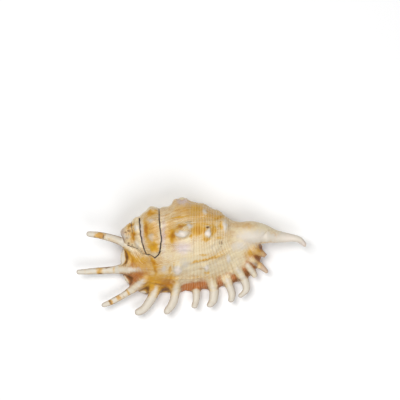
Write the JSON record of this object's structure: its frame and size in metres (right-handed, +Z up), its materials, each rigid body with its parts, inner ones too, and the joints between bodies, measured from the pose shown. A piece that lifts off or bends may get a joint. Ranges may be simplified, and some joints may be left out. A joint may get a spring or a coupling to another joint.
{
  "type": "spider conch shell",
  "caption": "Empty spider conch shell lying on its aperture: a knobbly coiled body with a short spire, a flared lip edged with curved fingers and a drawn-out canal.",
  "frame": {"origin": "under the middle of the shell's bounding box, on the surface it rests on", "axes": "+X along the coil axis from the spire to the canal tip, -Y towards the fingered lip, +Z up through the back"},
  "size_m": [0.1266, 0.0648, 0.0381],
  "materials": {
    "shell": "satin cream shell with ochre and brown bands, glossy brown inner lip"
  },
  "bodies": {
    "root": {"shell": "shell"}
  },
  "joints": []
}
